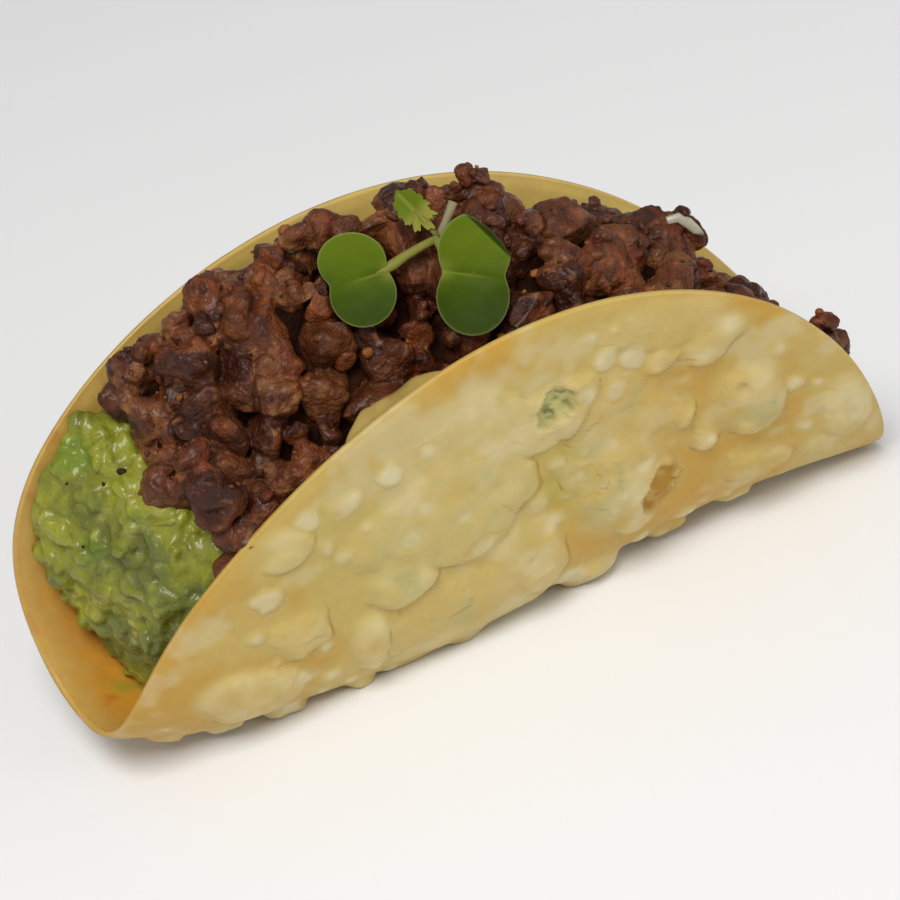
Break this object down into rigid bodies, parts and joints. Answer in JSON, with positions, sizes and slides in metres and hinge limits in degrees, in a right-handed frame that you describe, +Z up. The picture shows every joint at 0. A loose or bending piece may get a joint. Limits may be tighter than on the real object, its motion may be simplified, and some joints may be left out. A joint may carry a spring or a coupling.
{
  "type": "small filled taco",
  "caption": "Small crisp folded taco with mashed avocado, browned mince heaped in the fold and a cress seedling on top.",
  "frame": {"origin": "middle of the taco's outline seen from above, at the level of the surface it rests on", "axes": "+X along the fold towards the end the filling slopes down to, +Y towards the higher wall, +Z up"},
  "size_m": [0.0888, 0.03, 0.0497],
  "materials": {
    "fried_dough": "crisp, blistered, slightly oily",
    "mashed_avocado": "moist and lumpy",
    "browned_mince": "browned crumbs with a fatty gloss",
    "cress_leaf": "smooth fresh leaf"
  },
  "bodies": {
    "root": {"shell": "fried_dough", "avocado": "mashed_avocado", "mince": "browned_mince", "cress": "cress_leaf"}
  },
  "joints": []
}
